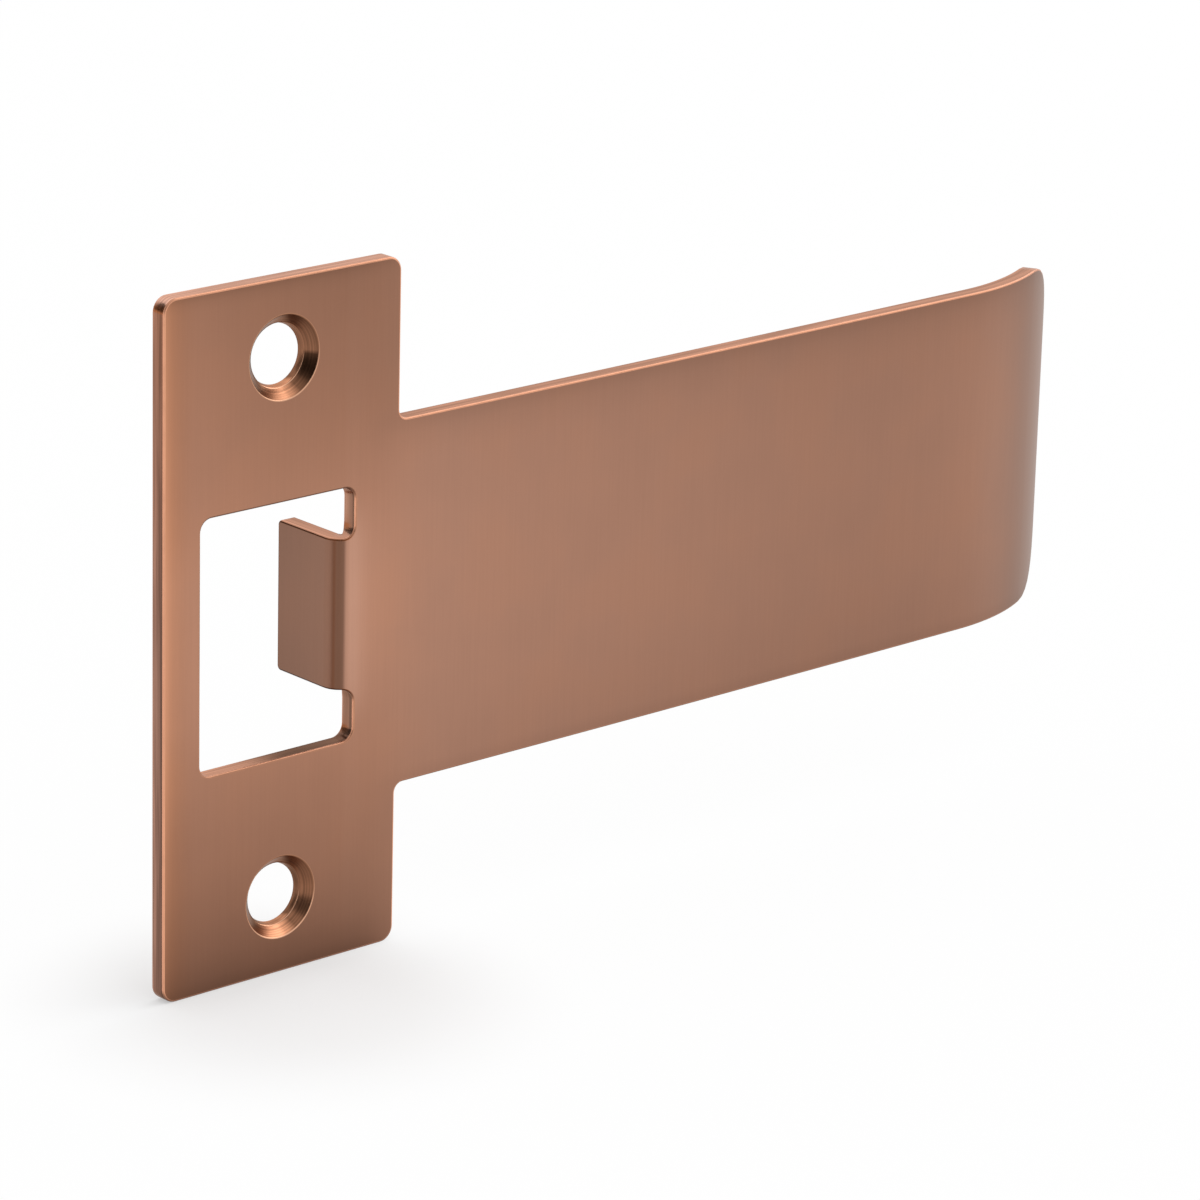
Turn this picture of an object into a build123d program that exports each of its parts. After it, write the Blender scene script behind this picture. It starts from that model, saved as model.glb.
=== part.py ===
"""Door strike plate with a long lip, folded from one piece of sheet metal.

The frame: X runs along the lip, Y runs into the door frame, Z is up. The origin lies on the back of the
flange, halfway between the two screws, so the back of the flange is the plane Y = 0 and its front is at
Y = -sheet. All lengths are in millimetres and all angles in degrees.
"""
from build123d import *
from math import degrees
import os

# Sheet
sheet = 1.75
edge_break = 0.2

# Flange, the tall rectangle that is screwed to the door frame
flange_width = 28.6
flange_height = 70.0
flange_corner_radius = 1.5

# Lip, which guides the latch bolt into the opening
lip_height = 37.3
lip_root_length = 6.0
lip_root_radius = 1.0
lip_bow_length = 73.1
lip_bow_radius = 5000.0
lip_curl_radius = 28.0
lip_curl_angle = 40.0
lip_corner_radius = 7.0

# Latch opening and the tab folded back from its lip side
opening_margin = 4.4
opening_width = 18.8
opening_corner_radius = 1.3
relief_height = 5.2
tab_height = 15.4
tab_depth = 7.5
tab_bend_radius = 0.4
tab_corner_radius = 0.5

# Screw holes, each so far from its end of the flange
screw_margin = 7.8
screw_hole_diameter = 6.0
countersink_diameter = 8.4
countersink_angle = 82.0

# Places worked out from the sizes above
tolerance = 0.01
flange_right = flange_width / 2
opening_left = opening_margin - flange_right
opening_right = opening_left + opening_width
opening_middle = (opening_left + opening_right) / 2
opening_height = tab_height + 2 * relief_height
relief_middle = (tab_height + relief_height) / 2
tab_outer_radius = tab_bend_radius + sheet
tab_straight_depth = tab_depth - tab_bend_radius
strip_height = tab_height + 2 * opening_corner_radius
tab_face = opening_right - tab_outer_radius
screw_spacing = flange_height - 2 * screw_margin


def outline_of(faces):
    """Edges round a group of faces that touch, without the seams between them."""
    edges = [edge for face in faces for edge in face.edges()]
    return [edge for edge in edges if sum(edge.is_same(other) for other in edges) == 1]


with BuildPart() as strike_plate:
    # Flange and the flat root of the lip, seen from the front
    with BuildSketch(Plane.XZ) as blank:
        Rectangle(flange_width, flange_height)
        fillet(blank.vertices(), flange_corner_radius)
        with Locations((flange_right, 0)):
            Rectangle(2 * lip_root_length, lip_height)
        inner_corners = blank.vertices().filter_by(
            lambda v: abs(v.X - flange_right) < tolerance and abs(abs(v.Y) - lip_height / 2) < tolerance
        )
        fillet(inner_corners, lip_root_radius)
    extrude(amount=sheet)

    # Lip seen from above: a very gentle bow, then the curl at its end
    with BuildSketch(Plane.XY.offset(-lip_height / 2)):
        with BuildLine():
            bow_angle = degrees(lip_bow_length / lip_bow_radius)
            front_bow = JernArc((flange_right + lip_root_length, -sheet), (1, 0), lip_bow_radius, bow_angle)
            front_curl = JernArc(front_bow @ 1, front_bow % 1, lip_curl_radius, lip_curl_angle)
            offset(amount=sheet, side=Side.LEFT)
        make_face()
    extrude(amount=lip_height)
    lip_end = strike_plate.faces().sort_by(Axis.X)[-1]
    fillet(lip_end.edges().sort_by(SortBy.LENGTH)[:2], lip_corner_radius)

    # Latch opening
    with BuildSketch(Plane.XZ):
        with Locations((opening_middle, 0)):
            RectangleRounded(opening_width, opening_height, opening_corner_radius)
    extrude(amount=sheet, mode=Mode.SUBTRACT)

    # Tab seen from above: bent back from the lip side of the opening
    with BuildSketch(Plane.XY.offset(-strip_height / 2)):
        with BuildLine():
            bend = JernArc((opening_right, -sheet), (-1, 0), tab_outer_radius, -90)
            Line(bend @ 1, bend @ 1 + (0, tab_straight_depth))
            offset(amount=sheet, side=Side.RIGHT)
        make_face()
    extrude(amount=strip_height)

    # Reliefs above and below the tab, which end its bend cleanly
    with BuildSketch(Plane.XZ.offset(-tab_depth)):
        with Locations((opening_middle, relief_middle), (opening_middle, -relief_middle)):
            RectangleRounded(opening_width, relief_height, opening_corner_radius)
    extrude(amount=tab_depth + sheet, mode=Mode.SUBTRACT)
    tab_end = strike_plate.faces().sort_by(Axis.Y)[-1]
    fillet(tab_end.edges().filter_by(Axis.X), tab_corner_radius)

    # Countersunk screw holes
    with Locations(Plane.XZ.offset(sheet)):
        with GridLocations(0, screw_spacing, 1, 2):
            CounterSinkHole(
                radius=screw_hole_diameter / 2,
                counter_sink_radius=countersink_diameter / 2,
                depth=sheet,
                counter_sink_angle=countersink_angle,
            )

    # Broken front edges: round the outline of the outer side of the sheet, from the flange to the tab
    faces = strike_plate.faces()
    plain_faces = faces.filter_by(GeomType.PLANE) + faces.filter_by(GeomType.CYLINDER)
    front_faces = [face for face in plain_faces if face.normal_at().Y < -0.5]
    tab_faces = [face for face in plain_faces if abs(face.center().X - tab_face) < tolerance]
    fillet(outline_of(front_faces + tab_faces), edge_break)

strike_plate.part.label = "strike_plate"
os.makedirs("parts", exist_ok=True)
export_step(strike_plate.part, "parts/strike_plate.step")
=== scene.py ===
"""The looks of a copper door strike plate: one folded sheet, brushed, lacquered and worn bright at its edges,
with some light and shade painted into its colours.

The plate is made the way the real one is. A flat blank is cut, its screw holes are sunk, its front edges are
broken, and then its tab and its lip are folded. Lengths in the classes are millimetres on the flat blank,
whose front face is the plane y = -sheet, and a finished mesh is in metres in the frame's own axes.
"""
import logging
import math
from dataclasses import dataclass, field
from enum import Enum

import bmesh
import bpy
from mathutils import Matrix, Vector


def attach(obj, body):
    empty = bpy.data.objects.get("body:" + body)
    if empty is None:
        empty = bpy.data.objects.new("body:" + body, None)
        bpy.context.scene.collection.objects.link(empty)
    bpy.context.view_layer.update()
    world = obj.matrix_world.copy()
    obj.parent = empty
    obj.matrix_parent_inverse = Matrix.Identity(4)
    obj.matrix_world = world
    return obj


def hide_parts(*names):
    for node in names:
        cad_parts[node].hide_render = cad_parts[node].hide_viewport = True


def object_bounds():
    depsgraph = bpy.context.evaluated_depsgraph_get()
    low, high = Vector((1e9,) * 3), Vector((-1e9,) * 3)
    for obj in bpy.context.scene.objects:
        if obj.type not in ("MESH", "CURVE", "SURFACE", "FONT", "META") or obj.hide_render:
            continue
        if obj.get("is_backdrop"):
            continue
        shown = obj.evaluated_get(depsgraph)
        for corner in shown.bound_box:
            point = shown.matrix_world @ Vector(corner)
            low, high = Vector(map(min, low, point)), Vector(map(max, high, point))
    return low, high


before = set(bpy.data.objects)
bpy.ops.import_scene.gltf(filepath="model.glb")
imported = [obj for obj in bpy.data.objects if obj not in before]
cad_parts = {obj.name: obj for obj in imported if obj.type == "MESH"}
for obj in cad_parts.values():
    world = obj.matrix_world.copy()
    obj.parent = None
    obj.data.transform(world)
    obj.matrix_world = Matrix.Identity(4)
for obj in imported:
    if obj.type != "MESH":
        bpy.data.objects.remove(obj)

Socket = bpy.types.NodeSocket
Colour = tuple[float, float, float]
Way = tuple[float, float, float]
Span = tuple[float, float]
Steps = tuple[tuple[float, float], ...]

LOG = logging.getLogger("strike_plate")
MM = 0.001
TOLERANCE = 0.001
ACROSS: Way = (1.0, 0.0, 0.0)
THROUGH: Way = (0.0, 1.0, 0.0)
UP: Way = (0.0, 0.0, 1.0)
WHITE: Colour = (1.0, 1.0, 1.0)
NONE_TO_ALL: Span = (0.0, 1.0)
ALL_TO_NONE: Span = (1.0, 0.0)
NODE = "strike_plate"
PIECE = "strike_plate_copper"


class Surface(Enum):
    """The kinds of surface on the plate. The value is the place of its material on the piece."""

    FACE = 0
    CUT = 1
    EDGE = 2
    SINK = 3


def put_in_scene(name: str, data: bpy.types.ID) -> bpy.types.Object:
    """Makes an object of a mesh, a lamp or a camera and puts it in the scene.

    Args:
        name: The object's name.
        data: The mesh, the lamp or the camera.

    Returns:
        The object.
    """
    thing = bpy.data.objects.new(name, data)
    bpy.context.scene.collection.objects.link(thing)
    return thing


def put_mesh_in_scene(name: str, bm: bmesh.types.BMesh) -> bpy.types.Object:
    """Makes an object of a mesh and puts it in the scene.

    Args:
        name: The object's name.
        bm: Its mesh, which is used up.

    Returns:
        The object.
    """
    mesh = bpy.data.meshes.new(name)
    bm.to_mesh(mesh)
    bm.free()
    return put_in_scene(name, mesh)


@dataclass(frozen=True)
class Run:
    """One stretch of a fold, measured on the front face of the sheet.

    Args:
        length: How long the stretch is.
        radius: The front face's radius there, or infinity where it is straight.
        cuts: How many parts the stretch is divided into, so that it can bend.
    """

    length: float
    radius: float = math.inf
    cuts: int = 1


@dataclass(frozen=True)
class Fold:
    """A way from the flat blank to the folded sheet, always turning towards the back.

    Args:
        start: Where the first run begins, along x.
        heading: 1 where the runs go to the right of the blank, -1 where they go to the left.
        runs: The stretches in order.
    """

    start: float
    heading: int
    runs: tuple[Run, ...]

    @property
    def length(self) -> float:
        """The length of all runs together."""
        return sum(run.length for run in self.runs)

    def distance(self, x: float) -> float:
        """How far along the fold a point of the flat blank lies."""
        return (x - self.start) * self.heading

    def stations(self) -> list[float]:
        """Finds where the blank is divided for this fold.

        Returns:
            The places along x, from the fold's start on.
        """
        places = [self.start]
        for run in self.runs:
            begin = places[-1]
            length = self.heading * run.length
            places += [begin + length * step / run.cuts for step in range(1, run.cuts + 1)]
        return places

    def place(self, x: float, depth: float) -> tuple[float, float]:
        """Finds where a point of the flat blank lies on the folded sheet.

        Args:
            x: Its place along the flat blank.
            depth: How deep it lies behind the front face.

        Returns:
            Its x, and its distance behind the plane of the blank's front face.
        """
        left, along, back, angle = self.distance(x), 0.0, 0.0, 0.0
        for run in self.runs:
            step = min(left, run.length)
            turn = step / run.radius
            if turn:
                along += run.radius * (math.sin(angle + turn) - math.sin(angle))
                back += run.radius * (math.cos(angle) - math.cos(angle + turn))
            else:
                along += step * math.cos(angle)
                back += step * math.sin(angle)
            angle += turn
            left -= step
        along -= depth * math.sin(angle)
        back += depth * math.cos(angle)
        return self.start + self.heading * along, back


@dataclass(frozen=True)
class ScrewHole:
    """A countersunk hole for a screw with an oval head.

    Args:
        bore: The radius at the back of the sheet.
        throat: The radius where the countersink ends and the hole narrows only a little more.
        sink: The radius of the countersink at the front face.
        angle: The whole angle of the countersink, in degrees.
        rim: The radius of the rounding where the countersink meets the front face.
        rim_steps: How many facets that rounding has.
        ridge: The height of the fine ridge left between the countersink and its throat.
        rings: How many turning marks the countersink shows.
        ring_depth: How deep each turning mark is.
        around: How many sides the circles have.
    """

    bore: float = 3.0
    throat: float = 3.2
    sink: float = 4.2
    angle: float = 82.0
    rim: float = 0.2
    rim_steps: int = 4
    ridge: float = 0.04
    rings: int = 9
    ring_depth: float = 0.006
    around: int = 96

    @property
    def reach(self) -> float:
        """The radius on the front face where the rounding of the rim begins."""
        return self.sink + self.rim * math.tan(self.lean / 2)

    @property
    def lean(self) -> float:
        """The angle between the countersink's wall and the front face, in radians."""
        return math.radians(90 - self.angle / 2)

    def profile(self, sheet: float) -> list[tuple[float, float]]:
        """Gives the wall of the hole from the front face to the back.

        Args:
            sheet: The thickness of the sheet.

        Returns:
            Points as radius and depth behind the front face.
        """
        lean = self.lean
        points = []
        for step in range(self.rim_steps + 1):
            turn = lean * step / self.rim_steps
            points.append((self.reach - self.rim * math.sin(turn), self.rim * (1 - math.cos(turn))))
        wall_top = points[-1]
        fall = (wall_top[0] - self.throat) * math.tan(lean)
        wall_foot = (self.throat, wall_top[1] + fall)
        for ring in range(1, 2 * self.rings):
            share = ring / (2 * self.rings)
            mark = self.ring_depth * (ring % 2)
            radius = wall_top[0] + (wall_foot[0] - wall_top[0]) * share
            depth = wall_top[1] + (wall_foot[1] - wall_top[1]) * share
            points.append((radius + mark * math.sin(lean), depth + mark * math.cos(lean)))
        points += [
            (self.throat + self.ridge, wall_foot[1] - self.ridge * math.tan(lean)),
            (self.throat - self.ridge, wall_foot[1]),
            (self.throat - self.ridge / 2, wall_foot[1] + 2 * self.ridge),
            (self.bore, sheet),
            (self.reach, sheet),
        ]
        return points


@dataclass(frozen=True)
class Corner:
    """A corner of a blank's outline.

    Args:
        x: Its place across the blank.
        z: Its height on the blank.
        radius: The radius that it is rounded with.
    """

    x: float
    z: float
    radius: float


@dataclass
class StrikePlate:
    """The strike plate: flange, latch opening with its tab, and the long lip.

    Args:
        sheet: The thickness of the sheet.
        edge_break: The radius that the front edges are rounded with.
        back_break: The same for the edges at the back, where only the burr is taken off.
        opening_margin: The width of the flange left of the opening.
        relief_height: The height of the gap above and below the tab.
        screw_margin: How far each screw hole's middle is from its end of the flange.
        hole: The shape of the screw holes.
        edge_steps: How many facets the rounded front edges have.
        back_steps: The same for the edges at the back.
        corner_steps: How many facets a rounded corner of the outline has.
        curl_cuts: How many parts the lip's curl is divided into.
        bend_cuts: The same for the tab's bend.
        rim_angle: The angle from which an edge belongs to the outline of a face, in degrees.
        sharp_angle: The angle from which an edge shades as a sharp one, in degrees.
        level: How squarely a facet must face the front or the back to count as the flat face.
        upright: How squarely it may face them at most to count as a cut wall.
    """

    sheet: float = 1.75
    edge_break: float = 0.2
    back_break: float = 0.05
    flange_width: float = 28.6
    flange_height: float = 70.0
    flange_corner: float = 1.5
    lip_height: float = 37.3
    lip_root: float = 6.0
    lip_root_corner: float = 1.0
    lip_bow: Run = Run(73.1, 5000.0, 10)
    lip_curl_radius: float = 28.0
    lip_curl_angle: float = 40.0
    lip_corner: float = 7.0
    opening_margin: float = 4.4
    opening_width: float = 18.8
    opening_corner: float = 1.3
    relief_height: float = 5.2
    tab_height: float = 15.4
    tab_depth: float = 7.5
    tab_bend_radius: float = 0.4
    tab_corner: float = 0.5
    screw_margin: float = 7.8
    hole: ScrewHole = field(default_factory=ScrewHole)
    edge_steps: int = 4
    back_steps: int = 2
    corner_steps: int = 8
    curl_cuts: int = 24
    bend_cuts: int = 16
    rim_angle: float = 45.0
    sharp_angle: float = 40.0
    level: float = 0.999
    upright: float = 0.01

    @property
    def flange_right(self) -> float:
        """The flange's right edge, where the lip begins."""
        return self.flange_width / 2

    @property
    def opening_left(self) -> float:
        """The side of the opening that faces the flange's outer edge."""
        return self.opening_margin - self.flange_right

    @property
    def opening_right(self) -> float:
        """The side of the opening where the tab is bent back."""
        return self.opening_left + self.opening_width

    @property
    def opening_top(self) -> float:
        """The height of the opening's top edge over the middle of the plate."""
        return self.tab_height / 2 + self.relief_height

    @property
    def lip_fold(self) -> Fold:
        """The lip's gentle bow and the curl at its end."""
        radius = self.lip_curl_radius
        curl = Run(radius * math.radians(self.lip_curl_angle), radius, self.curl_cuts)
        return Fold(self.flange_right + self.lip_root, 1, (self.lip_bow, curl))

    @property
    def tab_fold(self) -> Fold:
        """The tab's right-angled bend and its flat blade."""
        radius = self.tab_bend_radius + self.sheet
        bend = Run(radius * math.pi / 2, radius, self.bend_cuts)
        return Fold(self.opening_right, -1, (bend, Run(self.tab_depth - self.tab_bend_radius)))

    @property
    def screw_places(self) -> tuple[float, float]:
        """The heights of the two screw holes."""
        place = self.flange_height / 2 - self.screw_margin
        return place, -place

    def outline(self) -> list[Corner]:
        """Lays out the flat blank, flange and lip together.

        Returns:
            Its corners, in order round the blank.
        """
        side, half = self.flange_right, self.flange_height / 2
        lip_end = self.lip_fold.start + self.lip_fold.length
        upper = [
            Corner(-side, half, self.flange_corner),
            Corner(side, half, self.flange_corner),
            Corner(side, self.lip_height / 2, self.lip_root_corner),
            Corner(lip_end, self.lip_height / 2, self.lip_corner),
        ]
        return upper + [Corner(corner.x, -corner.z, corner.radius) for corner in reversed(upper)]

    def opening_outline(self) -> list[Corner]:
        """Lays out the latch opening in the flat blank, round the tab that is bent back later.

        Returns:
            Its corners, in order round the opening.
        """
        tab_end = self.opening_right - self.tab_fold.length
        tab_top = self.tab_height / 2
        upper = [
            Corner(self.opening_left, self.opening_top, self.opening_corner),
            Corner(self.opening_right, self.opening_top, self.opening_corner),
            Corner(self.opening_right, tab_top, self.opening_corner),
            Corner(tab_end, tab_top, self.tab_corner),
        ]
        return upper + [Corner(corner.x, -corner.z, corner.radius) for corner in reversed(upper)]

    def cut_blank(self, bm: bmesh.types.BMesh) -> None:
        """Cuts the flat front face with its opening and two round holes.

        Args:
            bm: The mesh that the face goes into.
        """
        for corners in (self.outline(), self.opening_outline()):
            points = [bm.verts.new((corner.x, -self.sheet, corner.z)) for corner in corners]
            bm.faces.new(points)
            for point, corner in zip(points, corners):
                bmesh.ops.bevel(
                    bm, geom=[point], offset=corner.radius, offset_type="OFFSET", segments=self.corner_steps,
                    profile=0.5, affect="VERTICES", material=-1,
                )
        for height in self.screw_places:
            turned = Matrix.Translation((0, -self.sheet, height)) @ Matrix.Rotation(math.pi / 2, 4, "X")
            bmesh.ops.create_circle(bm, segments=self.hole.around, radius=self.hole.reach, matrix=turned)
        bmesh.ops.delete(bm, geom=bm.faces[:], context="FACES_ONLY")
        bmesh.ops.triangle_fill(bm, edges=bm.edges[:], use_beauty=True, normal=(0, -1, 0))

    def thicken(self, bm: bmesh.types.BMesh) -> None:
        """Gives the blank its thickness and rounds its edges, front and back.

        Args:
            bm: The mesh with the flat front face.
        """
        made = bmesh.ops.extrude_face_region(bm, geom=bm.faces[:], use_keep_orig=True)
        back = [item for item in made["geom"] if isinstance(item, bmesh.types.BMVert)]
        bmesh.ops.translate(bm, verts=back, vec=(0, self.sheet, 0))
        bmesh.ops.recalc_face_normals(bm, faces=bm.faces[:])
        for depth, size, steps in (
            (-self.sheet, self.edge_break, self.edge_steps), (0.0, self.back_break, self.back_steps)
        ):
            rim = [edge for edge in bm.edges if self.on_rim(edge, depth)]
            bmesh.ops.bevel(
                bm, geom=rim, offset=size, offset_type="OFFSET", segments=steps, profile=0.5,
                affect="EDGES", material=-1, loop_slide=False,
            )

    def on_rim(self, edge: bmesh.types.BMEdge, depth: float) -> bool:
        """Says whether an edge runs round the outline of a face, and not round a screw hole.

        Args:
            edge: The edge.
            depth: The place of the face along y.

        Returns:
            True for an edge of the outline.
        """
        flat = all(abs(vert.co.y - depth) < self.back_break / 2 for vert in edge.verts)
        folded = edge.calc_face_angle(0) > math.radians(self.rim_angle)
        return flat and folded and not self.in_hole(edge.verts)

    def in_hole(self, verts: list[bmesh.types.BMVert]) -> bool:
        """Says whether these points all lie on the wall of one screw hole.

        Args:
            verts: The points of a face or an edge.

        Returns:
            True where they do.
        """
        return any(
            all(math.hypot(vert.co.x, vert.co.z - height) < self.hole.reach + self.back_break for vert in verts)
            for height in self.screw_places
        )

    def sink_holes(self, bm: bmesh.types.BMesh) -> None:
        """Takes out the straight walls of the screw holes and turns their countersinks.

        Args:
            bm: The mesh of the thick blank.
        """
        walls = [face for face in bm.faces if self.in_hole(face.verts)]
        bmesh.ops.delete(bm, geom=walls, context="FACES")
        for height in self.screw_places:
            profile = self.hole.profile(self.sheet)
            points = [bm.verts.new((radius, depth - self.sheet, height)) for radius, depth in profile]
            edges = [bm.edges.new(pair) for pair in zip(points, points[1:])]
            bmesh.ops.spin(
                bm, geom=points + edges, cent=(0, 0, height), axis=(0, 1, 0), angle=2 * math.pi,
                steps=self.hole.around, use_merge=True,
            )
        bmesh.ops.remove_doubles(bm, verts=bm.verts[:], dist=self.hole.ring_depth / 4)
        bmesh.ops.recalc_face_normals(bm, faces=bm.faces[:])

    def divide(self, bm: bmesh.types.BMesh) -> None:
        """Divides the lip and the tab across, so that they can bend.

        Args:
            bm: The mesh of the finished blank.
        """
        for fold, inside in ((self.lip_fold, self.on_lip), (self.tab_fold, self.on_tab)):
            for station in fold.stations():
                faces = [face for face in bm.faces if inside(face.calc_center_median())]
                region = dict.fromkeys(part for face in faces for part in (face, *face.edges, *face.verts))
                bmesh.ops.bisect_plane(
                    bm, geom=list(region), dist=TOLERANCE, plane_co=(station, 0, 0),
                    plane_no=(fold.heading, 0, 0),
                )

    def on_lip(self, point: Vector) -> bool:
        """Says whether a point of the blank lies right of the flange."""
        return point.x > self.flange_right

    def on_tab(self, point: Vector) -> bool:
        """Says whether a point of the blank lies on the tab or beside its root."""
        root = self.tab_height / 2 + self.opening_corner + TOLERANCE
        return self.opening_left < point.x and abs(point.z) < root and point.x < self.flange_right

    def fold(self, bm: bmesh.types.BMesh) -> None:
        """Keeps what the finishes need to know of the flat blank, and then folds the tab and the lip.

        Each point keeps its place on the blank as "flat", the way that it faces there as "facing", and how far
        along the tab it lies as "bent".

        Args:
            bm: The mesh of the divided blank.
        """
        flat = bm.verts.layers.float_vector.new("flat")
        facing = bm.verts.layers.float_vector.new("facing")
        bent = bm.verts.layers.float.new("bent")
        bm.normal_update()
        for vert in bm.verts:
            vert[flat] = vert.co
            vert[facing] = vert.normal
            if self.on_tab(vert.co):
                vert[bent] = max(0.0, self.tab_fold.distance(vert.co.x))
            for fold, inside in ((self.lip_fold, self.on_lip), (self.tab_fold, self.on_tab)):
                if inside(vert.co) and fold.distance(vert.co.x) > 0:
                    vert.co.x, back = fold.place(vert.co.x, vert.co.y + self.sheet)
                    vert.co.y = back - self.sheet
                    break

    def sort_surfaces(self, bm: bmesh.types.BMesh) -> None:
        """Gives each face of the flat blank the material of its kind of surface.

        Args:
            bm: The mesh of the blank before it is folded.
        """
        for face in bm.faces:
            facing = abs(face.normal.y)
            if facing > self.level:
                surface = Surface.FACE
            elif self.in_hole(face.verts):
                surface = Surface.SINK
            else:
                surface = Surface.CUT if facing < self.upright else Surface.EDGE
            face.material_index = surface.value
            face.smooth = True

    def build(self) -> bpy.types.Object:
        """Makes the plate's mesh and puts it in the scene.

        Returns:
            The finished piece, at the origin, with its place in its mesh.
        """
        bm = bmesh.new()
        self.cut_blank(bm)
        self.thicken(bm)
        self.sink_holes(bm)
        self.sort_surfaces(bm)
        self.divide(bm)
        self.fold(bm)
        for edge in bm.edges:
            edge.smooth = edge.calc_face_angle(0) < math.radians(self.sharp_angle)
        bmesh.ops.scale(bm, vec=(MM,) * 3, verts=bm.verts[:])
        piece = put_mesh_in_scene(PIECE, bm)
        shading = piece.modifiers.new("face_weighted_shading", "WEIGHTED_NORMAL")
        shading.keep_sharp = True
        return piece


@dataclass(frozen=True)
class Pattern:
    """A noise over the flat blank.

    Args:
        scale: How many waves it has in a millimetre across, through and up the blank.
        detail: How many finer layers it has.
    """

    scale: Way
    detail: float = 3.0


class Painter:
    """Adds shader nodes to one material and joins them."""

    def __init__(self, name: str) -> None:
        """Makes an empty material.

        Args:
            name: The material's name.
        """
        self.material = bpy.data.materials.new(name)
        self.material.use_nodes = True
        self.tree = self.material.node_tree
        self.tree.nodes.clear()

    def add(self, kind: str, **settings: object) -> bpy.types.Node:
        """Adds a node.

        Args:
            kind: Blender's name of the node.
            settings: Values of the node's own settings.

        Returns:
            The node.
        """
        node = self.tree.nodes.new(kind)
        for name, value in settings.items():
            setattr(node, name, value)
        return node

    def join(self, source: Socket, target: Socket) -> None:
        """Links one socket to another."""
        self.tree.links.new(source, target)

    def show(self, shader: Socket) -> None:
        """Makes a shader the look of the material's surface."""
        self.join(shader, self.add("ShaderNodeOutputMaterial").inputs["Surface"])

    def kept(self, name: str) -> bpy.types.Node:
        """Reads a value that the mesh keeps for each of its points."""
        return self.add("ShaderNodeAttribute", attribute_name=name)

    def along(self, name: str, way: Way) -> Socket:
        """Measures a kept place or direction along a way.

        Args:
            name: The name of what the mesh keeps.
            way: The factors for across, through and up the blank.

        Returns:
            The socket with the sum of the three parts, each times its factor.
        """
        node = self.add("ShaderNodeVectorMath", operation="DOT_PRODUCT")
        node.inputs[1].default_value = way
        self.join(self.kept(name).outputs["Vector"], node.inputs[0])
        return node.outputs["Value"]

    def noise(self, pattern: Pattern) -> Socket:
        """Adds a noise over the flat blank.

        Args:
            pattern: Its scale and detail.

        Returns:
            The socket with the noise, from 0 to 1.
        """
        mapping = self.add("ShaderNodeMapping")
        mapping.inputs["Scale"].default_value = pattern.scale
        self.join(self.kept("flat").outputs["Vector"], mapping.inputs["Vector"])
        node = self.add("ShaderNodeTexNoise")
        node.inputs["Scale"].default_value = 1.0
        node.inputs["Detail"].default_value = pattern.detail
        self.join(mapping.outputs["Vector"], node.inputs["Vector"])
        return node.outputs["Fac"]

    def mix(self, share: Socket, first: Socket | Colour, second: Socket | Colour) -> Socket:
        """Mixes two colours.

        Args:
            share: How much of the second colour there is.
            first: A colour or a socket.
            second: A colour or a socket.

        Returns:
            The socket with the mixed colour.
        """
        node = self.add("ShaderNodeMix", data_type="RGBA")
        self.join(share, node.inputs["Factor"])
        for name, value in (("A", first), ("B", second)):
            socket = next(item for item in node.inputs if item.name == name and item.type == "RGBA")
            if isinstance(value, tuple):
                socket.default_value = (*value, 1.0)
            else:
                self.join(value, socket)
        return next(item for item in node.outputs if item.type == "RGBA")

    def shade(self, value: Socket, steps: Steps, bend: str = "B_SPLINE") -> Socket:
        """Turns a value into a grey that follows given steps.

        Args:
            value: The socket with the values.
            steps: Pairs of a value and its grey, in order.
            bend: How the steps are joined.

        Returns:
            The socket with the grey.
        """
        low, high = steps[0][0], steps[-1][0]
        ramp = self.add("ShaderNodeValToRGB")
        band = ramp.color_ramp
        band.interpolation = bend
        while len(band.elements) < len(steps):
            band.elements.new(1.0)
        for element, (place, grey) in zip(band.elements, steps):
            element.position = (place - low) / (high - low)
            element.color = (grey, grey, grey, 1.0)
        self.join(self.spread(value, (low, high), kind="LINEAR"), ramp.inputs["Fac"])
        return ramp.outputs["Color"]

    def spread(
        self, value: Socket, source: Span, target: Span = NONE_TO_ALL, kind: str = "SMOOTHSTEP"
    ) -> Socket:
        """Maps one range of values to another.

        Args:
            value: The socket with the values.
            source: The range that they come from.
            target: The range that they go to.
            kind: How the values between are eased.

        Returns:
            The socket with the mapped values.
        """
        node = self.add("ShaderNodeMapRange", interpolation_type=kind)
        for name, number in zip(("From Min", "From Max", "To Min", "To Max"), (*source, *target)):
            node.inputs[name].default_value = number
        self.join(value, node.inputs["Value"])
        return node.outputs["Result"]

    def gain(self, share: Socket, factors: Span) -> Socket:
        """Turns a share into a factor, between those for none and for all of it."""
        return self.spread(share, NONE_TO_ALL, factors, "LINEAR")

    def reckon(self, operation: str, first: Socket, second: Socket) -> Socket:
        """Works out one value from two.

        Args:
            operation: Blender's name of the operation.
            first: The socket with the first value.
            second: The socket with the second value.

        Returns:
            The socket with the result.
        """
        node = self.add("ShaderNodeMath", operation=operation)
        self.join(first, node.inputs[0])
        self.join(second, node.inputs[1])
        return node.outputs["Value"]

    def times(self, first: Socket, second: Socket) -> Socket:
        """Multiplies two values."""
        return self.reckon("MULTIPLY", first, second)

    def tint(self, colour: Socket | Colour, *greys: Socket) -> Socket:
        """Multiplies a colour by greys.

        Args:
            colour: A colour or a socket.
            greys: The sockets with the greys.

        Returns:
            The socket with the tinted colour.
        """
        for grey in greys:
            node = self.add("ShaderNodeVectorMath", operation="MULTIPLY")
            if isinstance(colour, tuple):
                node.inputs[0].default_value = colour
            else:
                self.join(colour, node.inputs[0])
            self.join(grey, node.inputs[1])
            colour = node.outputs["Vector"]
        return colour

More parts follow.
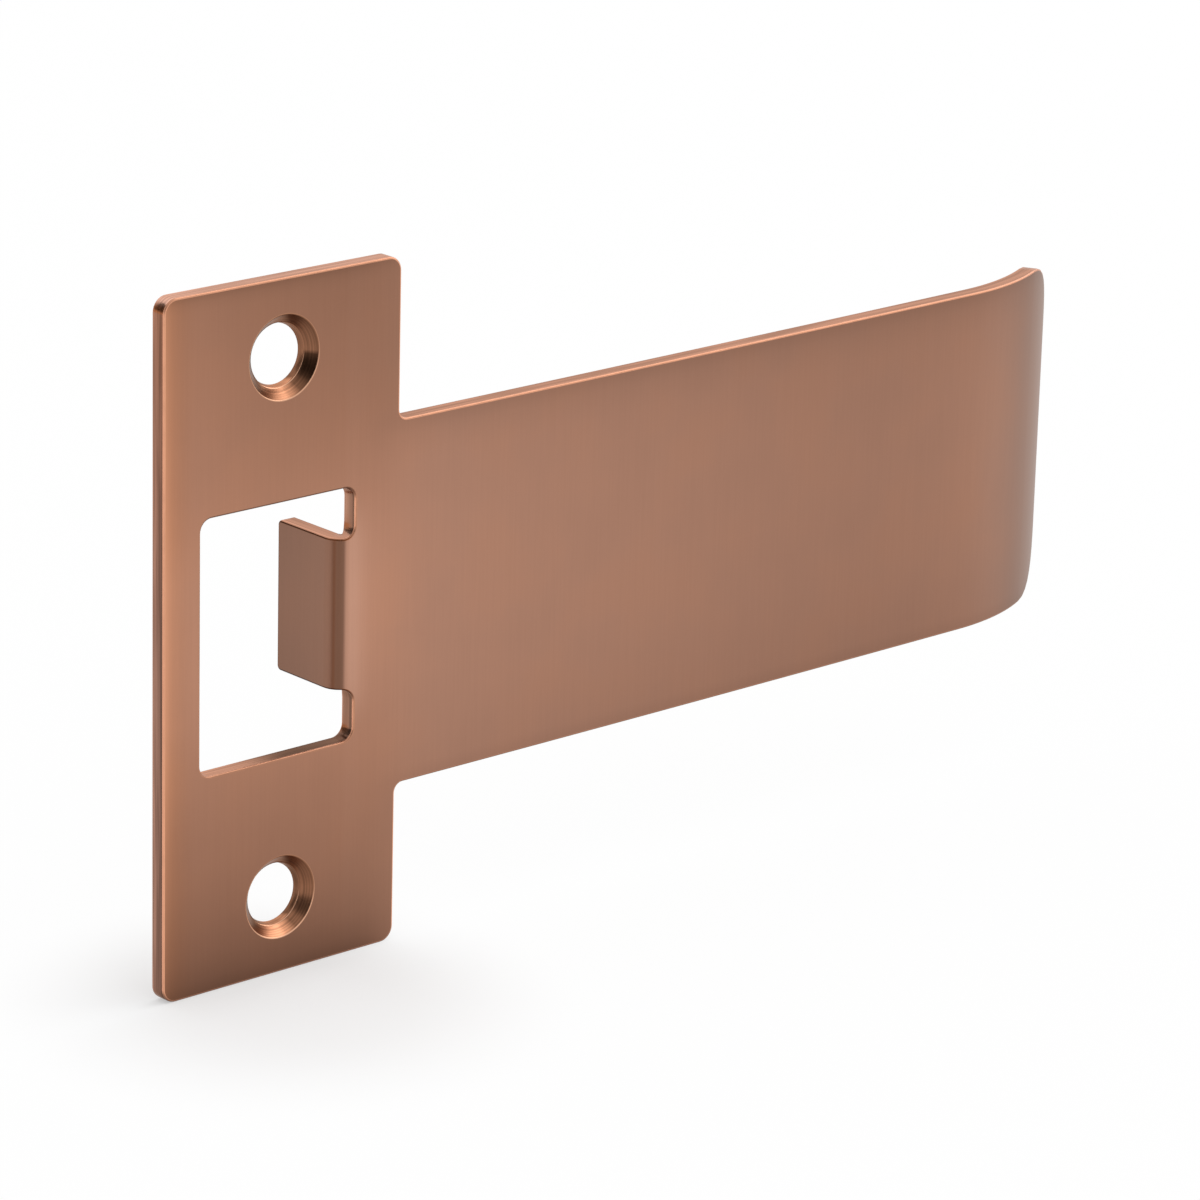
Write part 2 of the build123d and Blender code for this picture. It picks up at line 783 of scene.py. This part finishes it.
    def metal(self, roughness: float, anisotropy: float = 0.0, rim: Colour = WHITE) -> bpy.types.Node:
        """Adds the shader of a bare metal surface and joins it to the output.

        Args:
            roughness: How rough the surface is.
            anisotropy: How much more it scatters across its grain than along it.
            rim: The tint of what it mirrors at a low angle.

        Returns:
            The shader node.
        """
        shader = self.add("ShaderNodeBsdfPrincipled")
        shader.inputs["Metallic"].default_value = 1.0
        shader.inputs["Roughness"].default_value = roughness
        shader.inputs["Anisotropic"].default_value = anisotropy
        shader.inputs["Specular Tint"].default_value = (*rim, 1.0)
        self.show(shader.outputs["BSDF"])
        return shader

    def card(self, tone: float) -> Socket:
        """Adds the shader of a dull grey card.

        Args:
            tone: How much light it sends back.

        Returns:
            The shader's socket.
        """
        shader = self.add("ShaderNodeBsdfDiffuse")
        shader.inputs["Color"].default_value = (tone, tone, tone, 1.0)
        return shader.outputs["BSDF"]

    def roughen(self, shader: bpy.types.Node, height: Socket, depth: float) -> None:
        """Gives a shader a fine relief.

        Args:
            shader: The shader node.
            height: The socket with the relief's height, from 0 to 1.
            depth: How deep the relief is, in millimetres.
        """
        bump = self.add("ShaderNodeBump")
        bump.inputs["Distance"].default_value = depth * MM
        self.join(height, bump.inputs["Height"])
        self.join(bump.outputs["Normal"], shader.inputs["Normal"])


@dataclass(frozen=True)
class BrushedCopper:
    """The flat faces of the sheet, brushed up and down and then lacquered.

    Its colour holds painted light and shade: a painted sheen round the tab, along the flange's outer edge and
    on the lip's curl, and painted shade towards the plate's ends and round the tab's bend. A span gives the
    places on the blank where something begins and where it is complete.

    Args:
        flange: The colour of the flange.
        lip: The colour of the lip.
        warm: The warm colour of the clouds in the lacquer, and of the painted sheen along the flange's outer
            edge.
        curl: The paler colour of the painted sheen on the lip's curl, on the tab's blade and beside the tab.
        bend_line: The colour of a thin dark red line round the tab's bend.
        glint: The tint of what the finish mirrors at a low angle.
        roughness: How rough the finish is.
        anisotropy: How much more it scatters across its grain than along it.
        grain: The pattern of the grain.
        grain_depth: How much darker the grain lines are, and how much lighter the strips between them.
        grain_relief: How deep the grain is, in millimetres.
        cloud: The pattern of the faint clouds in the lacquer.
        cloud_depth: How much darker and lighter the clouds are.
        contrast: The part of a pattern's range that its tone uses.
        root_span: Where the flange's colour turns into the lip's, across.
        edge_sheen_span: Where the painted sheen fades from the flange's outer edge, across.
        edge_sheen_share: How much of the warm colour that painted sheen has at that edge.
        warm_span: Where the clouds turn warm, in their own range.
        warm_share: How warm they are at most.
        curl_sheen_span: Where the lip turns pale with painted sheen, across.
        blade_sheen_span: Where the tab turns pale with painted sheen, round its bend.
        blade_sheen_share: How pale that painted sheen is.
        edge_highlight: How much of the painted highlight along the flange's outer edge there is, across.
        edge_highlight_gain: How much brighter that painted highlight is.
        across: The painted shade from the flange's outer edge to the lip's end, darker towards the lip's end.
        shade_up_flange: The painted shade up the flange, darkest at its foot and darker towards its top.
        painted_top_span: Where the flange's upper end, with its own painted shade, begins, up the flange.
        shade_across_top: The painted shade across that end, lighter at the flange's outer edge.
        shade_up_lip: The painted shade up the lip, darker at its top and bottom.
        bend_shade: The painted shade round the tab's bend, from the flange to the tab's end.
        line_at: How much of the bend line there is, round the bend.
        sheen_beside_tab: How much of the painted sheen beside the tab there is, across.
        sheen_along_tab: The same, up the flange.
        tab_sheen_gain: How much brighter that painted sheen is.
    """

    flange: Colour = (0.525, 0.260, 0.166)
    lip: Colour = (0.525, 0.276, 0.188)
    warm: Colour = (0.525, 0.236, 0.130)
    curl: Colour = (0.545, 0.297, 0.208)
    bend_line: Colour = (0.19, 0.080, 0.045)
    glint: Colour = (1.0, 0.96, 0.93)
    roughness: float = 0.32
    anisotropy: float = 0.4
    grain: Pattern = Pattern((6.0, 6.0, 0.12), 6.0)
    grain_depth: float = 0.014
    grain_relief: float = 0.0003
    cloud: Pattern = Pattern((0.12, 0.14, 0.12), 4.0)
    cloud_depth: float = 0.025
    contrast: Span = (0.3, 0.7)
    root_span: Span = (8.3, 20.3)
    edge_sheen_span: Span = (-14.3, -10.3)
    edge_sheen_share: float = 0.95
    warm_span: Span = (0.4, 0.7)
    warm_share: float = 0.15
    curl_sheen_span: Span = (91.0, 101.0)
    blade_sheen_span: Span = (1.8, 2.8)
    blade_sheen_share: float = 0.7
    edge_highlight: Steps = ((-14.5, 1.0), (-14.1, 0.8), (-13.7, 0.45), (-13.2, 0.2), (-12.4, 0.05), (-11.5, 0.0))
    edge_highlight_gain: float = 0.58
    across: Steps = (
        (-14.3, 1.05), (-11.0, 1.02), (-6.0, 0.96), (2.0, 0.97), (9.0, 1.0), (14.0, 0.98), (18.0, 0.90),
        (30.0, 0.845), (42.0, 0.82), (54.0, 0.78), (66.0, 0.745), (80.0, 0.71), (88.0, 0.735), (94.0, 0.78),
        (98.0, 0.77), (101.0, 0.69), (104.0, 0.57), (108.0, 0.53), (113.0, 0.50),
    )
    shade_up_flange: Steps = (
        (-35.0, 0.31), (-33.5, 0.41), (-31.0, 0.51), (-27.0, 0.60), (-22.0, 0.69), (-18.0, 0.74), (-13.0, 0.83),
        (-7.0, 0.93), (0.0, 1.0), (6.0, 0.98), (11.0, 0.93), (16.0, 0.89), (22.0, 0.86), (28.0, 0.80),
        (33.0, 0.76), (34.2, 0.70), (35.0, 0.52),
    )
    painted_top_span: Span = (8.0, 24.0)
    shade_across_top: Steps = ((-14.3, 1.0), (-6.0, 0.93), (0.0, 0.87), (14.3, 0.77))
    shade_up_lip: Steps = (
        (-18.7, 0.76), (-17.0, 0.88), (-10.0, 0.96), (0.0, 1.0), (8.0, 1.0), (14.0, 0.97), (17.0, 0.89),
        (18.7, 0.72),
    )
    bend_shade: Steps = (
        (0.0, 1.0), (0.55, 1.0), (0.9, 0.90), (1.2, 0.40), (1.7, 0.38), (2.1, 0.40), (2.3, 0.48), (2.5, 0.58),
        (3.0, 0.56), (10.5, 0.51),
    )
    line_at: Steps = ((1.85, 0.0), (2.05, 0.95), (2.2, 0.95), (2.4, 0.0))
    sheen_beside_tab: Steps = ((7.4, 0.0), (7.9, 0.9), (8.9, 1.0), (9.7, 0.6), (11.0, 0.2), (13.5, 0.0))
    sheen_along_tab: Steps = ((-12.0, 0.0), (-8.5, 0.9), (-6.0, 1.0), (6.0, 1.0), (8.5, 0.9), (12.0, 0.0))
    tab_sheen_gain: float = 0.14

    def material(self) -> bpy.types.Material:
        """Makes the material of the plate's flat faces.

        Returns:
            The material.
        """
        painter = Painter("brushed_copper")
        shader = painter.metal(self.roughness, self.anisotropy, self.glint)
        across = painter.along("flat", ACROSS)
        height = painter.along("flat", UP)
        bent = painter.kept("bent").outputs["Fac"]
        grain, cloud = painter.noise(self.grain), painter.noise(self.cloud)

        on_lip = painter.spread(across, self.root_span)
        # Painted sheen beside the tab.
        tab_sheen = painter.times(painter.shade(across, self.sheen_beside_tab), painter.shade(height, self.sheen_along_tab))
        colour = painter.mix(on_lip, self.flange, self.lip)
        # Painted sheen along the outer edge, on the curl, on the blade and beside the tab; warm clouds in the
        # lacquer.
        for share, other in (
            (painter.spread(across, self.edge_sheen_span, (self.edge_sheen_share, 0.0)), self.warm),
            (painter.spread(across, self.curl_sheen_span), self.curl),
            (painter.spread(bent, self.blade_sheen_span, (0.0, self.blade_sheen_share)), self.curl),
            (painter.spread(cloud, self.warm_span, (0.0, self.warm_share)), self.warm),
            (tab_sheen, self.curl),
        ):
            colour = painter.mix(share, colour, other)

        # Painted shade up and across the plate, a painted highlight along the flange's outer edge, painted
        # shade round the tab's bend and painted sheen beside the tab.
        top = painter.mix(painter.spread(height, self.painted_top_span), WHITE, painter.shade(across, self.shade_across_top))
        flange_shade = painter.tint(painter.shade(height, self.shade_up_flange), top)
        colour = painter.tint(
            colour,
            painter.mix(on_lip, flange_shade, painter.shade(height, self.shade_up_lip)),
            painter.shade(across, self.across),
            painter.gain(painter.shade(across, self.edge_highlight), (1.0, 1.0 + self.edge_highlight_gain)),
            painter.shade(bent, self.bend_shade, "LINEAR"),
            painter.gain(tab_sheen, (1.0, 1.0 + self.tab_sheen_gain)),
            painter.spread(grain, self.contrast, (1.0 - self.grain_depth, 1.0 + self.grain_depth)),
            painter.spread(cloud, self.contrast, (1.0 - self.cloud_depth, 1.0 + self.cloud_depth)),
        )
        colour = painter.mix(painter.shade(bent, self.line_at), colour, self.bend_line)
        painter.join(colour, shader.inputs["Base Color"])
        painter.roughen(shader, grain, self.grain_relief)
        return painter.material


@dataclass(frozen=True)
class CutCopper:
    """The cut walls of the sheet, with painted light and shade: brown where they stand upright, brighter where
    they face up.

    Args:
        upright: The shaded colour of the upright walls at the back of the sheet.
        inner: The same inside the opening, lighter and warmer.
        lying: The lit colour of the walls that face up, painted light.
        lit_flange_top: The same, lit brighter still, at the top of the flange.
        corner_shade: The colour of the painted shade on the rounded corners between an upright and a lying
            wall.
        glint: The tint of what the walls mirror at a low angle.
        roughness: How rough the walls are.
        streak: The pattern of the streaks along the walls.
        streak_span: The part of that pattern's range that its tone uses.
        streak_tone: The tones of the darkest and the lightest streaks.
        streak_relief: How deep the streaks are, in millimetres.
        inner_span: Where the plate's outer edge ends and the opening begins, across.
        through: The painted shade of an upright wall from the front of the sheet to its back, darkest at the
            front.
        lying_span: How much a wall faces up where the lying colour begins, and where it is complete.
        facing_down: The painted shade of a wall by how much it faces up, darker where it faces down.
        corner: How much of the corners' painted shade there is, by how much a wall faces up.
        rear_span: Where that painted shade begins inside the opening, from the front of the sheet to its back.
        painted_top_span: Where the walls begin to take the flange top's lit colour, up the flange.
        sill_at: Where the opening's sill is, up the flange.
        light_and_shade_along_sill: The painted light and shade along the sill: a highlight at its outer end,
            darkest beside the tab.
        sill_gain: How much brighter the sill is where that tone is 1.
        tab_at: Where the tab is, up the flange.
        highlight_along_tab_edge: The painted highlight on the tab's lying walls, from the front of the sheet to
            its back.
        tab_highlight_gain: How much brighter those walls are where that tone is 1.
    """

    upright: Colour = (0.44, 0.235, 0.172)
    inner: Colour = (0.505, 0.262, 0.174)
    lying: Colour = (0.62, 0.320, 0.218)
    lit_flange_top: Colour = (0.78, 0.445, 0.335)
    corner_shade: Colour = (0.36, 0.128, 0.056)
    glint: Colour = (0.85, 0.68, 0.60)
    roughness: float = 0.22
    streak: Pattern = Pattern((0.08, 3.2, 0.08))
    streak_span: Span = (0.36, 0.64)
    streak_tone: Span = (0.74, 1.12)
    streak_relief: float = 0.004
    inner_span: Span = (-12.0, -11.0)
    through: Steps = ((-1.75, 0.36), (-1.5, 0.42), (-1.25, 0.52), (-0.8, 0.62), (-0.35, 0.90), (0.0, 1.0))
    lying_span: Span = (0.35, 0.9)
    facing_down: Steps = ((-1.0, 0.5), (-0.3, 0.9), (0.0, 1.0))
    corner: Steps = ((0.0, 0.0), (0.14, 1.0), (0.36, 1.0), (0.7, 0.0))
    rear_span: Span = (-1.4, -0.5)
    painted_top_span: Span = (24.0, 32.0)
    sill_at: Steps = ((-14.5, 0.0), (-13.6, 1.0), (-12.4, 1.0), (-11.0, 0.0))
    light_and_shade_along_sill: Steps = (
        (-10.0, 1.0), (-7.0, 0.86), (-5.0, 0.77), (-3.0, 0.60), (-1.0, 0.27), (1.0, 0.12), (4.0, 0.11),
        (7.0, 0.18), (9.0, 0.22),
    )
    sill_gain: float = 1.25
    tab_at: Steps = ((-9.5, 0.0), (-9.0, 1.0), (9.0, 1.0), (9.5, 0.0))
    highlight_along_tab_edge: Steps = ((-1.6, 1.0), (-1.48, 1.0), (-1.3, 0.62), (0.0, 0.58))
    tab_highlight_gain: float = 1.5

    def material(self) -> bpy.types.Material:
        """Makes the material of the cut walls.

        Returns:
            The material.
        """
        painter = Painter("cut_copper")
        shader = painter.metal(self.roughness, rim=self.glint)
        across, depth, height = (painter.along("flat", way) for way in (ACROSS, THROUGH, UP))
        facing_up = painter.along("facing", UP)
        streak = painter.noise(self.streak)

        inner = painter.spread(across, self.inner_span)
        # Painted shade on upright walls, darkest at the front of the sheet.
        upright = painter.tint(painter.mix(inner, self.upright, self.inner), painter.shade(depth, self.through))
        # Painted light and shade along the sill.
        painted_sill_tone = painter.gain(painter.shade(across, self.light_and_shade_along_sill), (0.0, self.sill_gain))
        # Painted highlight on the tab's lying walls, at the front of the sheet.
        tab_edge_highlight = painter.gain(painter.shade(depth, self.highlight_along_tab_edge, "LINEAR"), (0.0, self.tab_highlight_gain))
        lying = painter.tint(
            painter.mix(painter.spread(height, self.painted_top_span), self.lying, self.lit_flange_top),
            painter.mix(painter.shade(height, self.sill_at), WHITE, painted_sill_tone),
            painter.mix(painter.shade(height, self.tab_at), WHITE, tab_edge_highlight),
        )
        # Painted light where the walls face up, painted shade where they stand upright.
        colour = painter.mix(painter.spread(facing_up, self.lying_span), upright, lying)
        # Painted shade on the rounded corners, inside the opening only towards the back.
        rear = painter.mix(inner, WHITE, painter.spread(depth, self.rear_span))
        corner = painter.times(rear, painter.shade(facing_up, self.corner, "LINEAR"))
        # Painted shade on the corners and where walls face down, and streaks along the walls.
        colour = painter.tint(
            painter.mix(corner, colour, self.corner_shade),
            painter.shade(facing_up, self.facing_down),
            painter.spread(streak, self.streak_span, self.streak_tone),
        )
        painter.join(colour, shader.inputs["Base Color"])
        painter.roughen(shader, streak, self.streak_relief)
        return painter.material


@dataclass(frozen=True)
class EdgeCopper:
    """The broken edges, worn down to bright copper; that brightness is partly a painted highlight, with painted
    shade where they face down and on the tab.

    Args:
        worn: The bright colour of the edges, worn copper and partly painted highlight.
        shaded: The colour of the tab's edges in painted shade, where they don't face up.
        roughness: How rough the edges are.
        wear: The pattern of the wear.
        wear_tone: The tone of the wear, by its pattern.
        facing: The painted light and shade of an edge by how much it faces up, darkest where it faces down.
        tab_span: Where the tab's painted shade begins, round its bend.
        lit_span: How much an edge of the tab faces up where it begins to be lit, and where it is fully lit.
        bend_shade: The painted shade of the shaded edges, from the flange to the tab's end.
        inside_across: Where the opening's edges are, across.
        inside_height: The same, up the flange.
        narrow: The painted highlight on the opening's edges, by how far they have turned from the front, so
            that only a narrow line of them is bright.
        narrow_highlight_gain: How much brighter that line is where its tone is 1.
    """

    worn: Colour = (0.86, 0.41, 0.25)
    shaded: Colour = (0.86, 0.30, 0.13)
    roughness: float = 0.38
    wear: Pattern = Pattern((0.6, 2.0, 0.6))
    wear_tone: Steps = ((0.3, 0.86), (0.7, 1.0))
    facing: Steps = ((-0.8, 0.25), (-0.25, 0.40), (-0.02, 1.0), (0.12, 0.95), (0.35, 0.72), (0.8, 0.66))
    tab_span: Span = (0.0, 1.0)
    lit_span: Span = (0.45, 0.75)
    bend_shade: Steps = ((0.0, 1.0), (1.0, 0.7), (2.5, 0.3), (10.5, 0.26))
    inside_across: Steps = ((-13.0, 0.0), (-12.0, 1.0), (11.0, 1.0), (12.0, 0.0))
    inside_height: Steps = ((-15.0, 0.0), (-14.0, 1.0), (14.0, 1.0), (15.0, 0.0))
    narrow: Steps = ((-1.0, 0.46), (-0.8, 0.50), (-0.6, 1.0), (0.0, 1.0))
    narrow_highlight_gain: float = 1.12

    def material(self) -> bpy.types.Material:
        """Makes the material of the broken edges.

        Returns:
            The material.
        """
        painter = Painter("edge_copper")
        shader = painter.metal(self.roughness)
        facing_up = painter.along("facing", UP)
        bent = painter.kept("bent").outputs["Fac"]

        inside = painter.times(
            painter.shade(painter.along("flat", ACROSS), self.inside_across),
            painter.shade(painter.along("flat", UP), self.inside_height),
        )
        # Painted highlight: only a narrow line of the opening's edges is bright.
        narrow = painter.shade(painter.along("facing", THROUGH), self.narrow, "LINEAR")
        # Painted shade on the tab's edges that don't face up.
        shaded = painter.times(
            painter.spread(bent, self.tab_span), painter.spread(facing_up, self.lit_span, ALL_TO_NONE)
        )
        # Painted light and shade by how each edge faces, then the wear.
        colour = painter.tint(
            painter.mix(shaded, self.worn, self.shaded),
            painter.mix(inside, WHITE, painter.gain(narrow, (0.0, self.narrow_highlight_gain))),
            painter.shade(facing_up, self.facing, "LINEAR"),
            painter.mix(shaded, WHITE, painter.shade(bent, self.bend_shade)),
            painter.shade(painter.noise(self.wear), self.wear_tone),
        )
        painter.join(colour, shader.inputs["Base Color"])
        return painter.material


@dataclass(frozen=True)
class TurnedCopper:
    """The countersinks and the holes below them, turned with fine rings, with painted shade under their upper
    side and a painted highlight on the rim.

    Args:
        light: The colour between the rings.
        rim: The colour of the painted highlight on the rim, where the countersink meets the front face.
        glint: The tint of what the walls mirror at a low angle.
        roughness: How rough the walls are.
        ring: The pattern of the rings.
        ring_span: The part of that pattern's range that its tone uses.
        ring_depth: How much darker the rings are.
        ring_relief: How deep they are, in millimetres.
        side: The way that faces up and to the lip.
        facing: The painted light and shade by how much the wall faces that way.
        left_shade_span: How far a wall must face the lip to take painted shade, and to take it fully.
        left_shade_tone: The tone of that painted shade.
        upper_span: Where the lower countersink's tones turn into the upper one's painted shade, up the flange.
        sunk: How much of a surface counts as the countersink's wall, by how far it has turned from the front.
        upper_shade_at: Where the upper countersink has painted shade that the lower one lacks, by how much it
            faces that way.
        upper_shade_tone: The tone of that painted shade.
        rim_highlight_depth: How much of the rim's painted highlight there is, by how far the surface has turned
            from the front.
        rim_highlight_facing: The same by how much it faces up and to the lip.
    """

    light: Colour = (0.77, 0.347, 0.193)
    rim: Colour = (0.80, 0.44, 0.28)
    glint: Colour = (0.9, 0.74, 0.66)
    roughness: float = 0.3
    ring: Pattern = Pattern((0.02, 6.0, 0.02), 2.0)
    ring_span: Span = (0.35, 0.65)
    ring_depth: float = 0.4
    ring_relief: float = 0.001
    side: Way = (0.5, 0.0, 1.0)
    facing: Steps = (
        (-0.85, 0.33), (-0.6, 0.36), (-0.39, 0.42), (-0.33, 0.40), (0.0, 0.46), (0.3, 0.42), (0.46, 0.36),
        (0.6, 0.95), (0.7, 1.0), (0.78, 0.85), (0.86, 0.82),
    )
    left_shade_span: Span = (0.15, 0.6)
    left_shade_tone: float = 0.25
    upper_span: Span = (-20.0, 20.0)
    sunk: Steps = ((-0.74, 0.0), (-0.68, 1.0), (-0.5, 1.0), (-0.3, 0.0))
    upper_shade_at: Steps = ((-0.38, 0.0), (-0.3, 1.0), (0.2, 1.0), (0.48, 0.0))
    upper_shade_tone: float = 0.3
    rim_highlight_depth: Steps = ((-1.0, 0.3), (-0.97, 0.9), (-0.80, 1.0), (-0.72, 0.6), (-0.67, 0.0))
    rim_highlight_facing: Steps = ((-0.28, 0.0), (-0.13, 0.5), (-0.04, 0.95), (0.6, 1.0))

    def material(self) -> bpy.types.Material:
        """Makes the material of the screw holes' walls.

        Returns:
            The material.
        """
        painter = Painter("turned_copper")
        shader = painter.metal(self.roughness, rim=self.glint)
        ring = painter.noise(self.ring)
        side = painter.along("facing", self.side)
        front = painter.along("facing", THROUGH)

        # Painted highlight on the rim where it faces up and to the lip.
        on_rim = painter.times(
            painter.shade(front, self.rim_highlight_depth, "LINEAR"), painter.shade(side, self.rim_highlight_facing, "LINEAR")
        )
        # Painted shade in the upper countersink's wall.
        upper = painter.spread(painter.along("flat", UP), self.upper_span)
        sunk = painter.shade(front, self.sunk, "LINEAR")
        dark = painter.times(painter.times(upper, sunk), painter.shade(side, self.upper_shade_at, "LINEAR"))
        # Painted light and shade by how the wall faces.
        colour = painter.tint(self.light, painter.shade(side, self.facing, "LINEAR"))
        colour = painter.tint(
            painter.mix(on_rim, colour, self.rim),
            painter.gain(dark, (1.0, self.upper_shade_tone)),
            painter.spread(ring, self.ring_span, (1.0 - self.ring_depth, 1.0)),
            painter.spread(painter.along("facing", ACROSS), self.left_shade_span, (1.0, self.left_shade_tone)),
        )
        painter.join(colour, shader.inputs["Base Color"])
        painter.roughen(shader, ring, self.ring_relief)
        return painter.material


@dataclass(frozen=True)
class Stand:
    """Where a lamp or a card stands in the studio, turned towards the plate.

    Args:
        way: The direction from the plate to its middle.
        distance: How far it is from the plate, in metres.
        spread: The angle that it fills, seen from the plate, in degrees.
    """

    way: Way
    distance: float
    spread: float

    @property
    def size(self) -> float:
        """The length of its sides, in metres."""
        return 2 * self.distance * math.tan(math.radians(self.spread / 2))

    @property
    def matrix(self) -> Matrix:
        """Its place, with its own z axis turned away from the plate."""
        way = Vector(self.way).normalized()
        return Matrix.Translation(way * self.distance) @ way.to_track_quat("Z", "Y").to_matrix().to_4x4()


@dataclass(frozen=True)
class Lamp:
    """A soft square lamp.

    Args:
        name: Its name.
        stand: Where it stands.
        strength: How bright it looks, where 1 is white.
    """

    name: str
    stand: Stand
    strength: float

    def hang(self) -> None:
        """Makes the lamp and puts it in the scene."""
        light = bpy.data.lights.new(self.name, "AREA")
        light.size = self.stand.size
        light.energy = self.strength * math.pi * self.stand.size ** 2
        lamp = put_in_scene(self.name, light)
        lamp.matrix_world = self.stand.matrix


@dataclass(frozen=True)
class Card:
    """A black card that keeps light off one side of the plate.

    Args:
        name: Its name.
        stand: Where it stands.
        tone: How much light it sends back.
    """

    name: str
    stand: Stand
    tone: float = 0.1

    def material(self) -> bpy.types.Material:
        """Makes the card's dull grey material.

        Returns:
            The material.
        """
        painter = Painter(self.name)
        painter.show(painter.card(self.tone))
        return painter.material

    def put_up(self) -> None:
        """Makes the card and puts it in the scene, out of the camera's sight."""
        bm = bmesh.new()
        half = self.stand.size / 2
        bmesh.ops.create_grid(bm, x_segments=1, y_segments=1, size=half, matrix=self.stand.matrix)
        card = studio_object(self.name, bm, self.material())
        card.visible_camera = False


def studio_object(name: str, bm: bmesh.types.BMesh, material: bpy.types.Material) -> bpy.types.Object:
    """Makes a mesh an object of the studio, which is no part of the plate.

    Args:
        name: The object's name.
        bm: Its mesh, which is used up.
        material: Its material.

    Returns:
        The object.
    """
    thing = put_mesh_in_scene(name, bm)
    thing.data.materials.append(material)
    thing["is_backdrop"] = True
    return thing


@dataclass(frozen=True)
class Studio:
    """The pale floor, the soft light and the camera.

    Args:
        floor_level: The floor's height in the plate's frame, in metres.
        floor_tone: How much light the floor sends back.
        floor_glow: How much of the floor's look is plain white, at the plate's foot and far from it, where the
            camera or the metal shows it.
        foot_middle: The middle of the shadow at the plate's foot, in metres.
        foot_reach: How far from there the one ends and the other begins, in metres.
        floor_radius: The floor's radius, in metres.
        floor_sides: How many sides its round outline has.
        air: The strength of the even light from all sides.
        lamps: The lamps.
        cards: The cards that keep light off the plate.
        camera_place: Where the camera stands, in metres.
        camera_azimuth: How far it is turned to the side, in degrees.
        camera_fall: How far it looks down, in degrees.
        camera_roll: How far it is tilted, in degrees.
        camera_lens: Its focal length, in millimetres.
        camera_sensor: The width of its sensor, in millimetres.
    """

    floor_level: float
    floor_tone: float = 0.86
    floor_glow: Span = (0.45, 0.95)
    foot_middle: tuple[float, float] = (-0.005, -0.008)
    foot_reach: Span = (0.010, 0.030)
    floor_radius: float = 6.0
    floor_sides: int = 96
    air: float = 1.0
    lamps: tuple[Lamp, ...] = (Lamp("softbox", Stand((0.78, -0.12, 0.60), 3.0, 52.0), 1.4),)
    cards: tuple[Card, ...] = (
        Card("front_card", Stand((-0.62, -0.66, 0.30), 2.6, 46.0)),
        Card("back_card", Stand((-0.60, 0.72, 0.34), 2.6, 40.0), 0.2),
    )
    camera_place: tuple[float, float, float] = (-0.32495, -0.40677, 0.17131)
    camera_azimuth: float = 42.090
    camera_fall: float = 17.890
    camera_roll: float = 1.482
    camera_lens: float = 170.955
    camera_sensor: float = 36.0

    def lay_floor(self) -> None:
        """Lays a round floor of plain pale card under the plate."""
        bm = bmesh.new()
        level = Matrix.Translation((0, 0, self.floor_level))
        bmesh.ops.create_circle(
            bm, cap_ends=True, segments=self.floor_sides, radius=self.floor_radius, matrix=level
        )
        studio_object("floor", bm, self.white_floor())

    def white_floor(self) -> bpy.types.Material:
        """Makes the floor's material, which turns plain white away from the plate's foot and its shadow.

        Returns:
            The material.
        """
        painter = Painter("pale_floor")
        glow = painter.add("ShaderNodeEmission")
        ray = painter.add("ShaderNodeLightPath")
        seen = ray.outputs["Is Camera Ray"]
        for kind in ("Is Glossy Ray", "Is Transmission Ray"):
            seen = painter.reckon("MAXIMUM", seen, ray.outputs[kind])
        away = painter.add("ShaderNodeVectorMath", operation="DISTANCE")
        away.inputs[1].default_value = (*self.foot_middle, self.floor_level)
        painter.join(painter.add("ShaderNodeTexCoord").outputs["Object"], away.inputs[0])
        white = painter.spread(away.outputs["Value"], self.foot_reach, self.floor_glow)
        blend = painter.add("ShaderNodeMixShader")
        painter.join(painter.times(seen, white), blend.inputs["Fac"])
        painter.join(painter.card(self.floor_tone), blend.inputs[1])
        painter.join(glow.outputs["Emission"], blend.inputs[2])
        painter.show(blend.outputs["Shader"])
        return painter.material

    def light(self) -> None:
        """Lights the plate evenly, hangs the lamps and puts up the cards."""
        world = bpy.data.worlds.new("even_light")
        bpy.context.scene.world = world
        world.use_nodes = True
        background = world.node_tree.nodes["Background"]
        background.inputs["Color"].default_value = (*WHITE, 1.0)
        background.inputs["Strength"].default_value = self.air
        for lamp in self.lamps:
            lamp.hang()
        for card in self.cards:
            card.put_up()

    def aim_camera(self) -> None:
        """Sets the camera at the photograph's place and angle."""
        camera = bpy.data.cameras.new("camera")
        camera.lens = self.camera_lens
        camera.sensor_width = self.camera_sensor
        stand = put_in_scene("camera", camera)
        turn = Matrix.Rotation(math.radians(-self.camera_azimuth), 4, "Z")
        tilt = Matrix.Rotation(math.radians(90 - self.camera_fall), 4, "X")
        roll = Matrix.Rotation(math.radians(self.camera_roll), 4, "Z")
        stand.matrix_world = Matrix.Translation(self.camera_place) @ turn @ tilt @ roll
        bpy.context.scene.camera = stand


def main() -> None:
    """Builds the plate and the studio round it."""
    logging.basicConfig(level=logging.INFO, format="%(message)s")
    cad_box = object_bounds()
    bpy.context.scene.view_settings.view_transform = "Standard"

    plate = StrikePlate()
    piece = plate.build()
    for finish in (BrushedCopper(), CutCopper(), EdgeCopper(), TurnedCopper()):
        piece.data.materials.append(finish.material())
    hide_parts(NODE)
    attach(piece, "root")
    LOG.info("%s: %d points, %d faces", piece.name, len(piece.data.vertices), len(piece.data.polygons))

    studio = Studio(floor_level=cad_box[0].z)
    studio.lay_floor()
    studio.light()
    studio.aim_camera()
    LOG.info("studio: floor, %d lamps, %d cards and the camera", len(studio.lamps), len(studio.cards))


if __name__ == "__main__":
    main()
